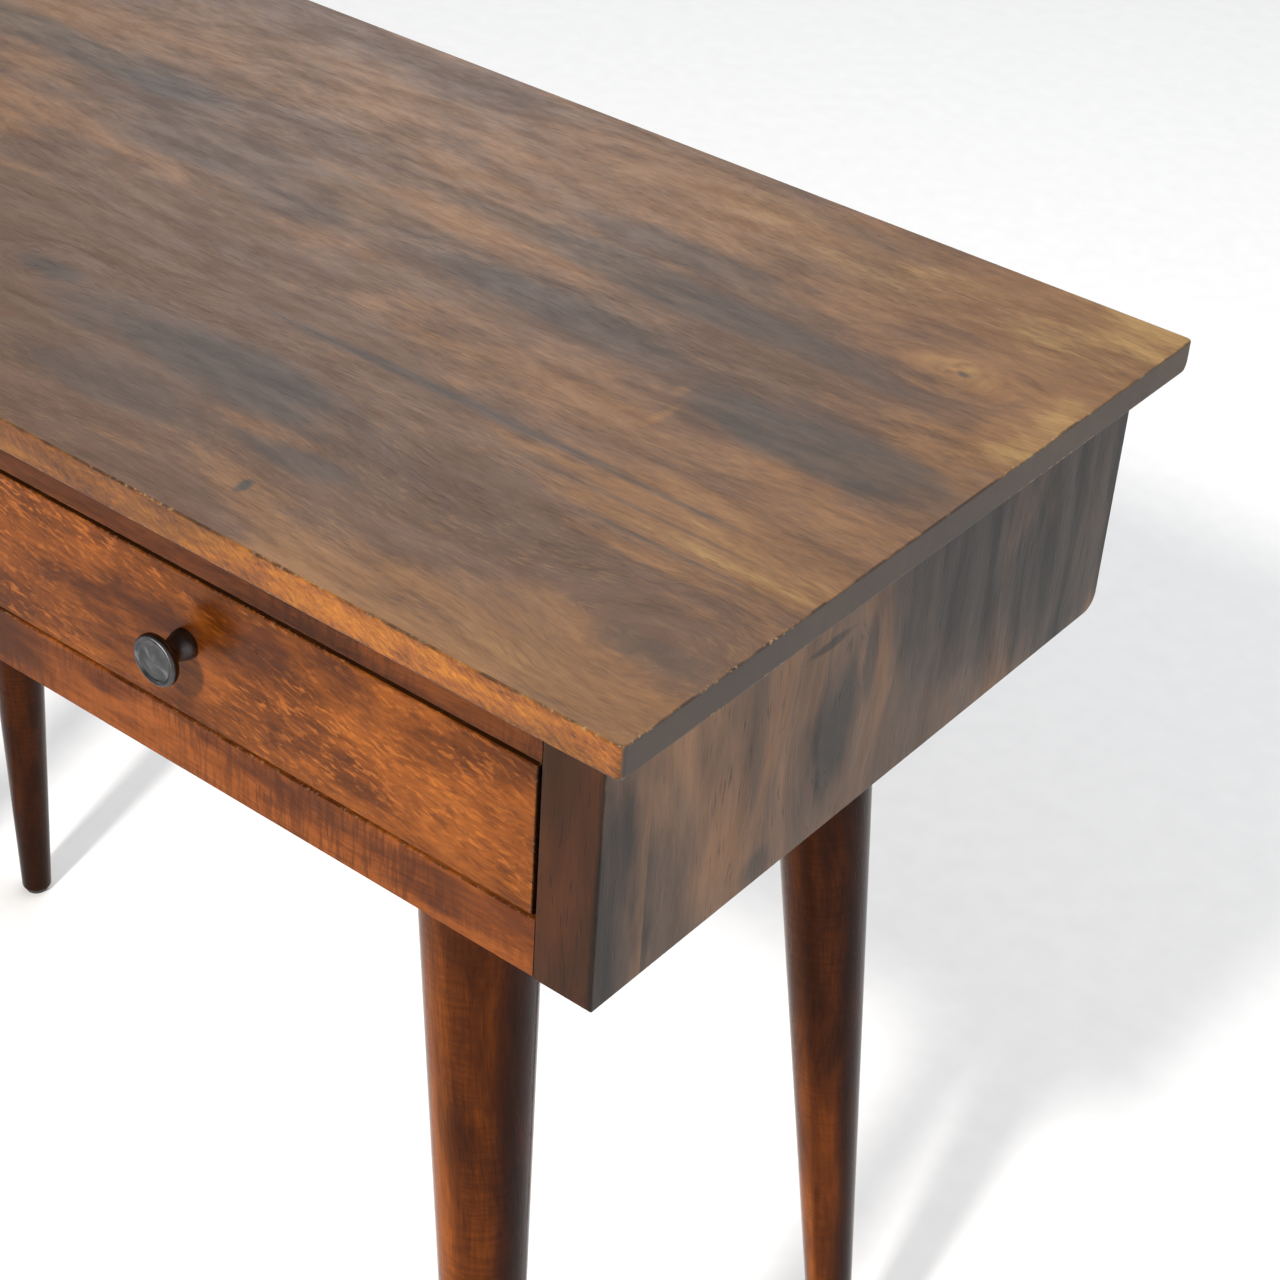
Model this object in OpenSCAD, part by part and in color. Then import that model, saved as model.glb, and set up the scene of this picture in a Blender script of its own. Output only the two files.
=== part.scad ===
// Wide side table in solid hardwood, with two drawers side by side and four splayed, tapered legs.
// Millimetres. +Z is up, +X is to the right and -Y is the front, where the drawers open.
// The origin is on the floor, under the middle of the whole table.

/* [Top] */
// Width of the top, left to right
top_w = 890; // [850:5:950]
// Depth of the top, front to back
top_d = 414; // [400:2:450]
// Thickness of the top
top_t = 16; // [14:1:22]
// Height of the top's upper face above the floor
table_h = 760; // [700:5:800]
// Radius of the top's four upright corners
top_corner_r = 3; // [1:0.5:6]

/* [Case] */
// How far the top stands out past each side of the case
side_overhang = 18; // [10:1:25]
// How far the top stands out past the front of the case
front_overhang = 15; // [8:1:17]
// How far the top stands out past the back of the case
back_overhang = 14; // [5:1:20]
// Height of the case's side panels
case_h = 132; // [126:1:150]
// Thickness of the side panels and of the divider between the drawers
panel_t = 30; // [24:1:34]
// Radius of each side panel's lower back corner
panel_corner_r = 9; // [4:1:14]
// Height of the rail above the drawers
top_rail_h = 24.5; // [20:0.5:28]
// Height of the rail below the drawers
bottom_rail_h = 29.5; // [27:0.5:36]
// How far the lower rail stays above the side panels' lower edge
bottom_rail_lift = 1; // [0:0.5:3]
// Depth of both rails, front to back
rail_d = 25; // [20:1:30]
// Thickness of the back panel
back_t = 16; // [12:1:18]

/* [Drawers] */
// Gap above a drawer front
gap_top = 2.5; // [1.5:0.5:4]
// Gap below a drawer front
gap_bottom = 1.5; // [1:0.5:3]
// Gap at each end of a drawer front
gap_side = 2; // [1.5:0.5:3]
// Thickness of a drawer front
front_t = 18; // [16:1:20]
// Thickness of the drawer sides and backs
drawer_side_t = 12; // [11:1:14]
// Thickness of the drawer bottoms
drawer_bottom_t = 5; // [4:1:6]
// Depth of a drawer, from the face of its front to its back end
drawer_d = 338; // [300:2:340]

/* [Knobs] */
// Diameter of a knob's head
knob_d = 24; // [20:1:30]
// How far a knob stands out from the drawer front
knob_len = 19; // [18:1:24]
// Diameter of a knob's foot, where it meets the drawer front
knob_foot_d = 14; // [12:1:18]
// How far a knob's centre is above the middle of its drawer front
knob_lift = 2; // [0:0.5:6]

/* [Legs] */
// Diameter of a leg where it meets the case
leg_top_d = 58; // [50:1:64]
// Diameter of a leg at the floor
leg_foot_d = 21; // [20:1:30]
// From a side of the case to the centre of the legs' tops
leg_inset_side = 115; // [90:1:130]
// From the front or the back of the case to the centre of the legs' tops
leg_inset_front = 66; // [60:1:90]
// Lean of each leg towards the side of the table, in degrees
splay_side = 4.9; // [0:0.1:8]
// Lean of each leg towards the front or the back of the table, in degrees
splay_front = 3.3; // [0:0.1:6]

/* [Hidden] */
$fn = 48;

// -1 is the left side and 1 is the right; -1 is the front row of legs and 1 is the back row
LEFT = -1;
RIGHT = 1;
FRONT = -1;
BACK = 1;

// How far the knobs stand out past the top, which moves the middle of the table's whole depth
knob_proud = max(0, knob_len - front_overhang);
top_front = (knob_proud - top_d) / 2;
top_back = top_front + top_d;

// The case's outline
case_front = top_front + front_overhang;
case_back = top_back - back_overhang;
case_top = table_h - top_t;
case_bottom = case_top - case_h;
case_half_w = top_w / 2 - side_overhang;
inner_half_w = case_half_w - panel_t;
rail_back = case_front + rail_d;
inner_back = case_back - back_t;
inner_d = inner_back - rail_back;

// The drawer openings, between the rails and on each side of the divider
opening_bottom = case_bottom + bottom_rail_lift + bottom_rail_h;
opening_top = case_top - top_rail_h;
rail_bottom = case_bottom + bottom_rail_lift;
opening_x1 = panel_t / 2;
opening_x2 = inner_half_w;
opening_mid = (opening_x1 + opening_x2) / 2;

// Drawer boards; the sides hang just clear of the runners
front_z1 = opening_bottom + gap_bottom;
front_z2 = opening_top - gap_top;
knob_z = (front_z1 + front_z2) / 2 + knob_lift;
runner_clearance = 0.4;
kicker_clearance = 2;
side_drop = 5.5;
side_z1 = opening_bottom + runner_clearance;
side_z2 = front_z2 - side_drop;
front_back = case_front + front_t;
drawer_back_y = case_front + drawer_d;
back_inset = 12;
groove_depth = 5;
groove_lift = 8;
housing_depth = 4;
groove_z = side_z1 + groove_lift;
back_drop = 4;
bottom_play = 0.2;
bottom_short = 2;
joint_play = 0.1;

// Dovetails between a drawer's front and its sides
tail_count = 3;
tail_len = 10;
tail_share = 0.3;
tail_slope = 1.6;

// Runners below the drawer sides, and kickers above them that also hold the top
strip_w = 20;
runner_h = 22;
runner_recess = 7;
runner_screw_bite = 12;
runner_screw_end = 30;
kicker_bottom = side_z2 + kicker_clearance;
kicker_recess = 10;
top_screw_share = 0.6;
top_screw_end = 45;
stop_gap = 0.5;
stop_h = 30;

// Boards between the front rail and the back, which carry the legs
batten_w = 90;
batten_t = 28;
batten_screw_len = 40;
leg_x = case_half_w - leg_inset_side;
leg_mid_y = (case_front + case_back) / 2;
leg_half_y = (case_back - case_front) / 2 - leg_inset_front;
glide_t = 2.5;
leg_len = rail_bottom / (cos(splay_side) * cos(leg_tilt_x()));

// Fasteners
bore_play = 0.1;
dowel_r = 4;
dowel_len = 32;
back_dowel_pitch = 40;
bolt_r = 4;
bolt_in_leg = 42;
bolt_wood = 16;
bolt_hole_play = 0.5;
bolt_hole_spare = 2;
washer_r = 10;
washer_t = 1.6;
nut_flats = 13;
nut_t = 6.5;
bolt_above_nut = 2.4;
counterbore_r = 12;
screw_r = 2;
screw_head_r = 4;
screw_head_t = 2.4;
screw_head_play = 0.6;
screw_tip_len = 3;
screw_tip_r = 0.3;
knob_screw_r = 2;
knob_screw_grip = 8;
knob_screw_play = 0.2;
glide_r = 8;
nail_r = 1.25;
nail_len = 14;

// ---------- shapes used more than once ----------

// A box between two opposite corners
module block(low, high) {
  translate(low)
    cube(high - low);
}

// A board along the case's depth from the front rail to the back panel, in the right half
module strip(x1, z1, z2) {
  block([x1, rail_back, z1], [x1 + strip_w, inner_back, z2]);
}

// Children made for the right half of the table, put on side -1 or 1
module on_side(side) {
  if (side == LEFT)
    mirror([1, 0, 0])
      children();
  else
    children();
}

// A wood screw along +Z: flat head below the origin, shank and point above it
module wood_screw(len, play = 0) {
  translate([0, 0, -screw_head_t])
    cylinder(h = screw_head_t + play, r1 = screw_head_r + play, r2 = screw_r + play);
  cylinder(h = len - screw_tip_len, r = screw_r + play);
  translate([0, 0, len - screw_tip_len - 0.01])
    cylinder(h = screw_tip_len, r1 = screw_r + play, r2 = screw_tip_r + play);
}

// The round recess that lets a screw's head sink below a surface, down from the head's face
module head_recess(depth) {
  translate([0, 0, -screw_head_t - depth])
    cylinder(h = depth + 0.01, r = screw_head_r + screw_head_play);
}

// The lean of the legs about the X axis, which gives splay_front once they also lean sideways
function leg_tilt_x() = atan(tan(splay_front) * cos(splay_side));

// Puts children on a leg's axis: the origin is where it meets the case and +Z goes up the leg
module on_leg_axis(side, row) {
  translate([side * leg_x, leg_mid_y + row * leg_half_y, rail_bottom])
    rotate([row * leg_tilt_x(), -side * splay_side, 0])
      children();
}

// ---------- top and case ----------

// Where each screw through a kicker goes up into the top: x in the right half, and y
module at_top_screws() {
  for (x = [opening_x1 + strip_w / 2, opening_x2 - strip_w / 2])
    for (y = [rail_back + top_screw_end, inner_back - top_screw_end])
      translate([x, y, kicker_bottom + kicker_recess])
        children();
}

module top_screw_holes(play) {
  for (side = [LEFT, RIGHT])
    on_side(side)
      at_top_screws()
        wood_screw(top_screw_len(), play);
}

// The screws go a share of the top's thickness up into it
function top_screw_len() = case_top - kicker_bottom - kicker_recess + top_t * top_screw_share;

module top_panel() {
  half_w = top_w / 2;
  r = top_corner_r;
  color("peru")
    difference() {
      union() {
        block([-half_w + r, top_front, case_top], [half_w - r, top_back, table_h]);
        block([-half_w, top_front + r, case_top], [half_w, top_back - r, table_h]);
        for (x = [-half_w + r, half_w - r])
          for (y = [top_front + r, top_back - r])
            translate([x, y, case_top])
              cylinder(h = top_t, r = r);
      }
      top_screw_holes(bore_play);
    }
}

// Dowels that join the rails and the back panel to a side panel, along X in the right half
module at_case_dowels() {
  rail_mid_y = case_front + rail_d / 2;
  for (z = [rail_bottom + bottom_rail_h / 2, opening_top + top_rail_h / 2])
    translate([inner_half_w, rail_mid_y, z])
      children();
  for (k = [-1, 0, 1])
    translate([inner_half_w, inner_back + back_t / 2, (rail_bottom + case_top) / 2 + k * back_dowel_pitch])
      children();
}

module case_dowel(play) {
  rotate([0, 90, 0])
    translate([0, 0, -dowel_len / 2 - play])
      cylinder(h = dowel_len + 2 * play, r = dowel_r + play);
}

module case_dowel_holes() {
  for (side = [LEFT, RIGHT])
    on_side(side)
      at_case_dowels()
        case_dowel(bore_play);
}

// Screws through a runner into the board beside it, both in the right half
module at_runner_screws(outer) {
  x = outer ? opening_x2 - strip_w + runner_recess : opening_x1 + strip_w - runner_recess;
  turn = outer ? 90 : -90;
  for (y = [rail_back + runner_screw_end, inner_back - runner_screw_end])
    translate([x, y, opening_bottom - runner_h / 2])
      rotate([0, turn, 0])
        children();
}

module runner_screw(play) {
  wood_screw(strip_w - runner_recess + runner_screw_bite, play);
}

module side_panel(side) {
  r = panel_corner_r;
  color("saddlebrown")
    difference() {
      on_side(side)
        difference() {
          block([inner_half_w, case_front, case_bottom], [case_half_w, case_back, case_top]);
          difference() {
            block([inner_half_w - 1, case_back - r, case_bottom - 1],
                  [case_half_w + 1, case_back + 1, case_bottom + r]);
            translate([inner_half_w - 2, case_back - r, case_bottom + r])
              rotate([0, 90, 0])
                cylinder(h = panel_t + 4, r = r);
          }
        }
      case_dowel_holes();
      on_side(side)
        at_runner_screws(true)
          runner_screw(bore_play);
    }
}

module left_side_panel() {
  side_panel(LEFT);
}

module right_side_panel() {
  side_panel(RIGHT);
}

module centre_divider() {
  color("saddlebrown")
    difference() {
      block([-panel_t / 2, case_front, rail_bottom], [panel_t / 2, inner_back, case_top]);
      block([-panel_t, case_front - 1, rail_bottom - 1], [panel_t, rail_back, opening_bottom]);
      block([-panel_t, case_front - 1, opening_top], [panel_t, rail_back, case_top + 1]);
      for (side = [LEFT, RIGHT])
        on_side(side)
          at_runner_screws(false)
            runner_screw(bore_play);
    }
}

module rail(z1, z2) {
  color("sienna")
    difference() {
      block([-inner_half_w, case_front, z1], [inner_half_w, rail_back, z2]);
      case_dowel_holes();
      batten_dowel_set(bore_play);
    }
}

module top_front_rail() {
  rail(opening_top, case_top);
}

module bottom_front_rail() {
  rail(rail_bottom, opening_bottom);
}

module back_panel() {
  color("saddlebrown")
    difference() {
      block([-inner_half_w, inner_back, rail_bottom], [inner_half_w, case_back, case_top]);
      case_dowel_holes();
      batten_screw_set(bore_play);
    }
}

module case_dowels() {
  color("burlywood")
    for (side = [LEFT, RIGHT])
      on_side(side)
        at_case_dowels()
          case_dowel(0);
}

// ---------- boards that carry the legs ----------

module batten(side) {
  color("saddlebrown")
    difference() {
      translate([side * leg_x - batten_w / 2, rail_back, rail_bottom])
        cube([batten_w, inner_d, batten_t]);
      for (row = [FRONT, BACK])
        on_leg_axis(side, row) {
          translate([0, 0, -5])
            cylinder(h = batten_t + 10, r = bolt_r + bolt_hole_play);
          translate([0, 0, bolt_wood])
            cylinder(h = batten_t, r = counterbore_r);
        }
      batten_dowel_set(bore_play);
      batten_screw_set(bore_play);
    }
}

module left_leg_batten() {
  batten(LEFT);
}

module right_leg_batten() {
  batten(RIGHT);
}

// Two dowels hold each batten's front end to the lower rail
module batten_dowel_set(play) {
  for (side = [LEFT, RIGHT])
    for (k = [-1, 1])
      translate([side * leg_x + k * batten_w / 4, rail_back, rail_bottom + batten_t / 2])
        rotate([90, 0, 0])
          translate([0, 0, -dowel_len / 2 - play])
            cylinder(h = dowel_len + 2 * play, r = dowel_r + play);
}

module batten_dowels() {
  color("burlywood")
    batten_dowel_set(0);
}

// Two screws through the back panel hold each batten's other end, with heads flush at the back
module batten_screw_set(play) {
  for (side = [LEFT, RIGHT])
    for (k = [-1, 1])
      translate([side * leg_x + k * batten_w / 4, case_back - screw_head_t, rail_bottom + batten_t / 2])
        rotate([90, 0, 0])
          wood_screw(batten_screw_len, play);
}

module batten_screws() {
  color("silver")
    batten_screw_set(0);
}

// ---------- runners, kickers and stops ----------

module runner(side, outer) {
  x1 = outer ? opening_x2 - strip_w : opening_x1;
  color("burlywood")
    on_side(side)
      difference() {
        strip(x1, opening_bottom - runner_h, opening_bottom);
        at_runner_screws(outer) {
          runner_screw(bore_play);
          head_recess(strip_w);
        }
      }
}

module left_outer_runner() {
  runner(LEFT, true);
}

module left_inner_runner() {
  runner(LEFT, false);
}

module right_inner_runner() {
  runner(RIGHT, false);
}

module right_outer_runner() {
  runner(RIGHT, true);
}

module runner_screws() {
  color("silver")
    for (side = [LEFT, RIGHT])
      for (outer = [true, false])
        on_side(side)
          at_runner_screws(outer)
            runner_screw(0);
}

module kicker(side, outer) {
  x1 = outer ? opening_x2 - strip_w : opening_x1;
  color("burlywood")
    on_side(side)
      difference() {
        strip(x1, kicker_bottom, case_top);
        at_top_screws() {
          wood_screw(top_screw_len(), bore_play);
          head_recess(strip_w);
        }
      }
}

module left_outer_kicker() {
  kicker(LEFT, true);
}

module left_inner_kicker() {
  kicker(LEFT, false);
}

module right_inner_kicker() {
  kicker(RIGHT, false);
}

module right_outer_kicker() {
  kicker(RIGHT, true);
}

module top_screws() {
  color("silver")
    top_screw_holes(0);
}

// Blocks on the back panel that stop each drawer when its front is flush
module drawer_stops() {
  z1 = (side_z1 + side_z2 - stop_h) / 2;
  color("burlywood")
    for (side = [LEFT, RIGHT])
      for (x1 = [opening_x1, opening_x2 - strip_w])
        on_side(side)
          block([x1, drawer_back_y + stop_gap, z1], [x1 + strip_w, inner_back, z1 + stop_h]);
}

// ---------- legs ----------

// Radius of a leg at a distance up its axis, counted from the case and negative below it
function leg_r(s) = (leg_top_d + (leg_top_d - leg_foot_d) * s / leg_len) / 2;

module leg(side, row) {
  spare = 12;
  color("maroon")
    difference() {
      intersection() {
        on_leg_axis(side, row)
          translate([0, 0, -leg_len - spare])
            cylinder(h = leg_len + 2 * spare, r1 = leg_r(-leg_len - spare), r2 = leg_r(spare), $fn = 96);
        block([-top_w, -top_w, glide_t], [top_w, top_w, rail_bottom]);
      }
      on_leg_axis(side, row)
        translate([0, 0, -bolt_in_leg - bolt_hole_spare])
          cylinder(h = bolt_in_leg + 10, r = bolt_r + bore_play);
      at_foot(side, row)
        cylinder(h = nail_len + glide_t + 1, r = nail_r + bore_play);
    }
}

module front_left_leg() {
  leg(LEFT, FRONT);
}

module front_right_leg() {
  leg(RIGHT, FRONT);
}

module back_left_leg() {
  leg(LEFT, BACK);
}

module back_right_leg() {
  leg(RIGHT, BACK);
}

// Puts children on the floor under the middle of a foot
module at_foot(side, row) {
  reach_x = rail_bottom * tan(splay_side);
  reach_y = rail_bottom * tan(splay_front);
  translate([side * (leg_x + reach_x), leg_mid_y + row * (leg_half_y + reach_y), 0])
    children();
}

module on_all_legs() {
  for (side = [LEFT, RIGHT])
    for (row = [FRONT, BACK])
      on_leg_axis(side, row)
        children();
}

// Studs that are screwed into the legs and come up through the battens
module leg_bolts() {
  above = bolt_wood + washer_t + nut_t + bolt_above_nut;
  color("silver")
    on_all_legs()
      translate([0, 0, -bolt_in_leg])
        cylinder(h = bolt_in_leg + above, r = bolt_r);
}

module leg_washers() {
  color("silver")
    on_all_legs()
      translate([0, 0, bolt_wood])
        difference() {
          cylinder(h = washer_t, r = washer_r);
          translate([0, 0, -1])
            cylinder(h = washer_t + 2, r = bolt_r + bolt_hole_play);
        }
}

module leg_nuts() {
  color("silver")
    on_all_legs()
      translate([0, 0, bolt_wood + washer_t])
        difference() {
          cylinder(h = nut_t, d = nut_flats / cos(30), $fn = 6);
          translate([0, 0, -1])
            cylinder(h = nut_t + 2, r = bolt_r + bore_play);
        }
}

// Nylon discs under the feet, each with a nail up into its leg
module foot_glides() {
  color("dimgray")
    for (side = [LEFT, RIGHT])
      for (row = [FRONT, BACK])
        at_foot(side, row) {
          cylinder(h = glide_t, r = glide_r);
          cylinder(h = glide_t + nail_len, r = nail_r);
        }
}

// ---------- drawers, all made in the right half of the case ----------

drawer_x1 = opening_x1 + gap_side;
drawer_x2 = opening_x2 - gap_side;

// The dovetails on a drawer side's front end; play makes their sockets
module tails(x1, play) {
  pitch = (side_z2 - side_z1) / tail_count;
  half = pitch * tail_share;
  for (k = [0 : tail_count - 1])
    translate([x1 - play, front_back + 0.01, side_z1 + (k + 0.5) * pitch])
      rotate([90, 0, 90])
        linear_extrude(height = drawer_side_t + 2 * play)
          polygon([
            [0, -half + tail_slope - play],
            [-tail_len - play, -half - play],
            [-tail_len - play, half + play],
            [0, half - tail_slope + play]
          ]);
}

module drawer_front(side) {
  color("chocolate")
    on_side(side)
      difference() {
        block([drawer_x1, case_front, front_z1], [drawer_x2, front_back, front_z2]);
        tails(drawer_x1, joint_play);
        tails(drawer_x2 - drawer_side_t, joint_play);
        block([drawer_x1 + drawer_side_t - groove_depth, front_back - groove_depth, groove_z],
              [drawer_x2 - drawer_side_t + groove_depth, front_back + 1, groove_z + groove_h()]);
        translate([opening_mid, case_front - 1, knob_z])
          rotate([-90, 0, 0])
            cylinder(h = front_t + 2, r = knob_screw_r + knob_screw_play);
      }
}

// Height of the grooves that hold a drawer's bottom
function groove_h() = drawer_bottom_t + 2 * joint_play;

// A drawer side; inner is the one by the divider
module drawer_side(side, inner) {
  x1 = inner ? drawer_x1 : drawer_x2 - drawer_side_t;
  groove_x = inner ? x1 + drawer_side_t - groove_depth : x1 - 1;
  housing_x = inner ? x1 + drawer_side_t - housing_depth : x1 - 1;
  color("burlywood")
    on_side(side)
      difference() {
        union() {
          block([x1, front_back, side_z1], [x1 + drawer_side_t, drawer_back_y, side_z2]);
          tails(x1, 0);
        }
        block([groove_x, front_back - tail_len - 1, groove_z],
              [groove_x + groove_depth + 1, drawer_back_y + 1, groove_z + groove_h()]);
        block([housing_x, back_y1() - joint_play, groove_z],
              [housing_x + housing_depth + 1, back_y1() + drawer_side_t + joint_play, side_z2 + 1]);
      }
}

// Front face of a drawer's back board
function back_y1() = drawer_back_y - back_inset - drawer_side_t;

module drawer_back(side) {
  reach = drawer_side_t - housing_depth + joint_play;
  color("burlywood")
    on_side(side)
      block([drawer_x1 + reach, back_y1(), groove_z + groove_h()],
            [drawer_x2 - reach, back_y1() + drawer_side_t, side_z2 - back_drop]);
}

module drawer_bottom(side) {
  z1 = groove_z + joint_play;
  reach = groove_depth - joint_play - bottom_play;
  color("tan")
    on_side(side)
      block([drawer_x1 + drawer_side_t - reach, front_back - reach, z1],
            [drawer_x2 - drawer_side_t + reach, drawer_back_y - bottom_short, z1 + drawer_bottom_t]);
}

// Puts children on a drawer's face at the knob, with +Z out of the front
module at_knob(side) {
  on_side(side)
    translate([opening_mid, case_front, knob_z])
      rotate([90, 0, 0])
        children();
}

// A turned knob: a stout stem that narrows from its foot, and a thin dished head with a low dome in it
module knob(side) {
  foot_r = knob_foot_d / 2;
  head_r = knob_d / 2;
  neck_r = 5.2;
  rim_z = knob_len;
  head_z = knob_len - 6;
  color("dimgray")
    at_knob(side)
      difference() {
        rotate_extrude($fn = 96)
          polygon([
            [0, 0], [foot_r, 0], [foot_r, 1.2], [foot_r - 0.3, 3.2], [foot_r - 1, 5.6],
            [neck_r + 0.1, 8], [neck_r, head_z - 3], [neck_r + 0.7, head_z - 1.4], [head_r - 4, head_z],
            [head_r - 1.6, head_z + 1], [head_r - 0.3, head_z + 2], [head_r, head_z + 3.2],
            [head_r - 0.1, rim_z - 1.4], [head_r - 0.6, rim_z - 0.4], [head_r - 1.3, rim_z],
            [head_r - 2.2, rim_z - 0.3], [head_r - 3.4, rim_z - 1], [head_r - 4.8, rim_z - 1.3],
            [3.6, rim_z - 0.9], [0, rim_z - 0.65]
          ]);
        translate([0, 0, -1])
          cylinder(h = knob_screw_grip + 2, r = knob_screw_r + bore_play);
      }
}

// A machine screw from inside the drawer, through the front and into the knob
module knob_screw(side) {
  head_r = 4.2;
  head_t = 2.6;
  color("silver")
    at_knob(side) {
      translate([0, 0, -front_t - head_t])
        cylinder(h = head_t, r = head_r);
      translate([0, 0, -front_t - 0.01])
        cylinder(h = front_t + knob_screw_grip, r = knob_screw_r);
    }
}

module left_drawer_front() {
  drawer_front(LEFT);
}

module left_drawer_outer_side() {
  drawer_side(LEFT, false);
}

module left_drawer_inner_side() {
  drawer_side(LEFT, true);
}

module left_drawer_back() {
  drawer_back(LEFT);
}

module left_drawer_bottom() {
  drawer_bottom(LEFT);
}

module left_knob() {
  knob(LEFT);
}

module left_knob_screw() {
  knob_screw(LEFT);
}

module right_drawer_front() {
  drawer_front(RIGHT);
}

module right_drawer_outer_side() {
  drawer_side(RIGHT, false);
}

module right_drawer_inner_side() {
  drawer_side(RIGHT, true);
}

module right_drawer_back() {
  drawer_back(RIGHT);
}

module right_drawer_bottom() {
  drawer_bottom(RIGHT);
}

module right_knob() {
  knob(RIGHT);
}

module right_knob_screw() {
  knob_screw(RIGHT);
}

top_panel();
left_side_panel();
right_side_panel();
centre_divider();
top_front_rail();
bottom_front_rail();
back_panel();
left_leg_batten();
right_leg_batten();
left_outer_runner();
left_inner_runner();
right_inner_runner();
right_outer_runner();
left_outer_kicker();
left_inner_kicker();
right_inner_kicker();
right_outer_kicker();
drawer_stops();
case_dowels();
batten_dowels();
batten_screws();
runner_screws();
top_screws();
front_left_leg();
front_right_leg();
back_left_leg();
back_right_leg();
leg_bolts();
leg_washers();
leg_nuts();
foot_glides();
left_drawer_front();
left_drawer_outer_side();
left_drawer_inner_side();
left_drawer_back();
left_drawer_bottom();
left_knob();
left_knob_screw();
right_drawer_front();
right_drawer_outer_side();
right_drawer_inner_side();
right_drawer_back();
right_drawer_bottom();
right_knob();
right_knob_screw();
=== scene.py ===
"""Looks for a wide side table with two drawers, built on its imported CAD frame. Metres, +Z up, -Y is the front."""

import math

import bmesh
import bpy
from mathutils import Matrix, Vector


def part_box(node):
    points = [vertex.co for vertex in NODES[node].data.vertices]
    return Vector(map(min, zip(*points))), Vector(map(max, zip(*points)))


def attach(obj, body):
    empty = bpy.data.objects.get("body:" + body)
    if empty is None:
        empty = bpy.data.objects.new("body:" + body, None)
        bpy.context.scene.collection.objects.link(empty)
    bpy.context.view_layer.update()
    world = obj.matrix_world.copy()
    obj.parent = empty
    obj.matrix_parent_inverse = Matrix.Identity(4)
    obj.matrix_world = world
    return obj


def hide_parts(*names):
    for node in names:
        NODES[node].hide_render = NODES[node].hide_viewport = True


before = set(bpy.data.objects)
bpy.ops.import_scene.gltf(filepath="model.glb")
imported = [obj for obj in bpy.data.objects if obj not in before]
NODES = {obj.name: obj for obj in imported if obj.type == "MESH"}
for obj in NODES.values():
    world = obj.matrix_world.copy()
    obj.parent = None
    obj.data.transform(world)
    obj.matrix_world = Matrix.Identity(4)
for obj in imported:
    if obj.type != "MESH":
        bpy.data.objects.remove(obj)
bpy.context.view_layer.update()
scene = bpy.context.scene
MM = 0.001

# a leg's axis where it meets the case, from the middle of the table, and its lean to the side and to the front or back
LEG_X, LEG_MIDDLE_Y, LEG_Y = 0.312, 0.0025, 0.1265
LEAN_SIDE, LEAN_FRONT = math.radians(4.9), math.radians(3.3)
LEG_TOP_R, LEG_FOOT_R, LEG_FOOT_ROUND = 0.029, 0.0105, 0.0035
LEG_STEPS = 24
# the two drawers are this far apart
DRAWER_PITCH = 0.41
# the height of the top's upper face, and the plane of the rails' and drawer fronts' faces
TOP_Z, FRONT_Y = 0.76, -0.19
# half size of a patch that runs through the whole board
THROUGH = 9

# round pieces and rounded corners
ROUND_SEGMENTS = 96
CORNER_STEPS = 6
# edges sharper than this stay sharp in the shading
SHARP_ANGLE = math.radians(50)

# levels of the grain's noise where cool turns to warm, and where heartwood starts
WARM_FROM, HEART_FROM = 0.38, 0.56


# ---------- camera, light and floor ----------


def add_camera():
    """The camera stands in front of the right end of the table, a little rolled, and looks down at 35 degrees."""
    azimuth, elevation, roll = math.radians(36.147), math.radians(34.989), math.radians(3.960)
    back = Vector(
        (math.sin(azimuth) * math.cos(elevation), -math.cos(azimuth) * math.cos(elevation), math.sin(elevation))
    )
    right = (-back).cross(Vector((0, 0, 1))).normalized()
    up = right.cross(-back)
    across = math.cos(roll) * right + math.sin(roll) * up
    upward = math.cos(roll) * up - math.sin(roll) * right
    data = bpy.data.cameras.new("camera")
    data.sensor_width = 36
    data.lens = 75.15
    camera = bpy.data.objects.new("camera", data)
    turn = Matrix((across, upward, back)).transposed().to_4x4()
    camera.matrix_world = Matrix.Translation((0.8875, -0.8052, 1.3288)) @ turn
    scene.collection.objects.link(camera)
    scene.camera = camera


def add_area(name, place, target, size, watts, colour):
    """A soft round light that no camera sees."""
    data = bpy.data.lights.new(name, "AREA")
    data.shape = "DISK"
    data.size = size
    data.energy = watts
    data.color = colour
    light = bpy.data.objects.new(name, data)
    light.location = place
    aim = Vector(target) - Vector(place)
    light.rotation_euler = aim.to_track_quat("-Z", "Y").to_euler()
    light.visible_camera = False
    scene.collection.objects.link(light)


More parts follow.
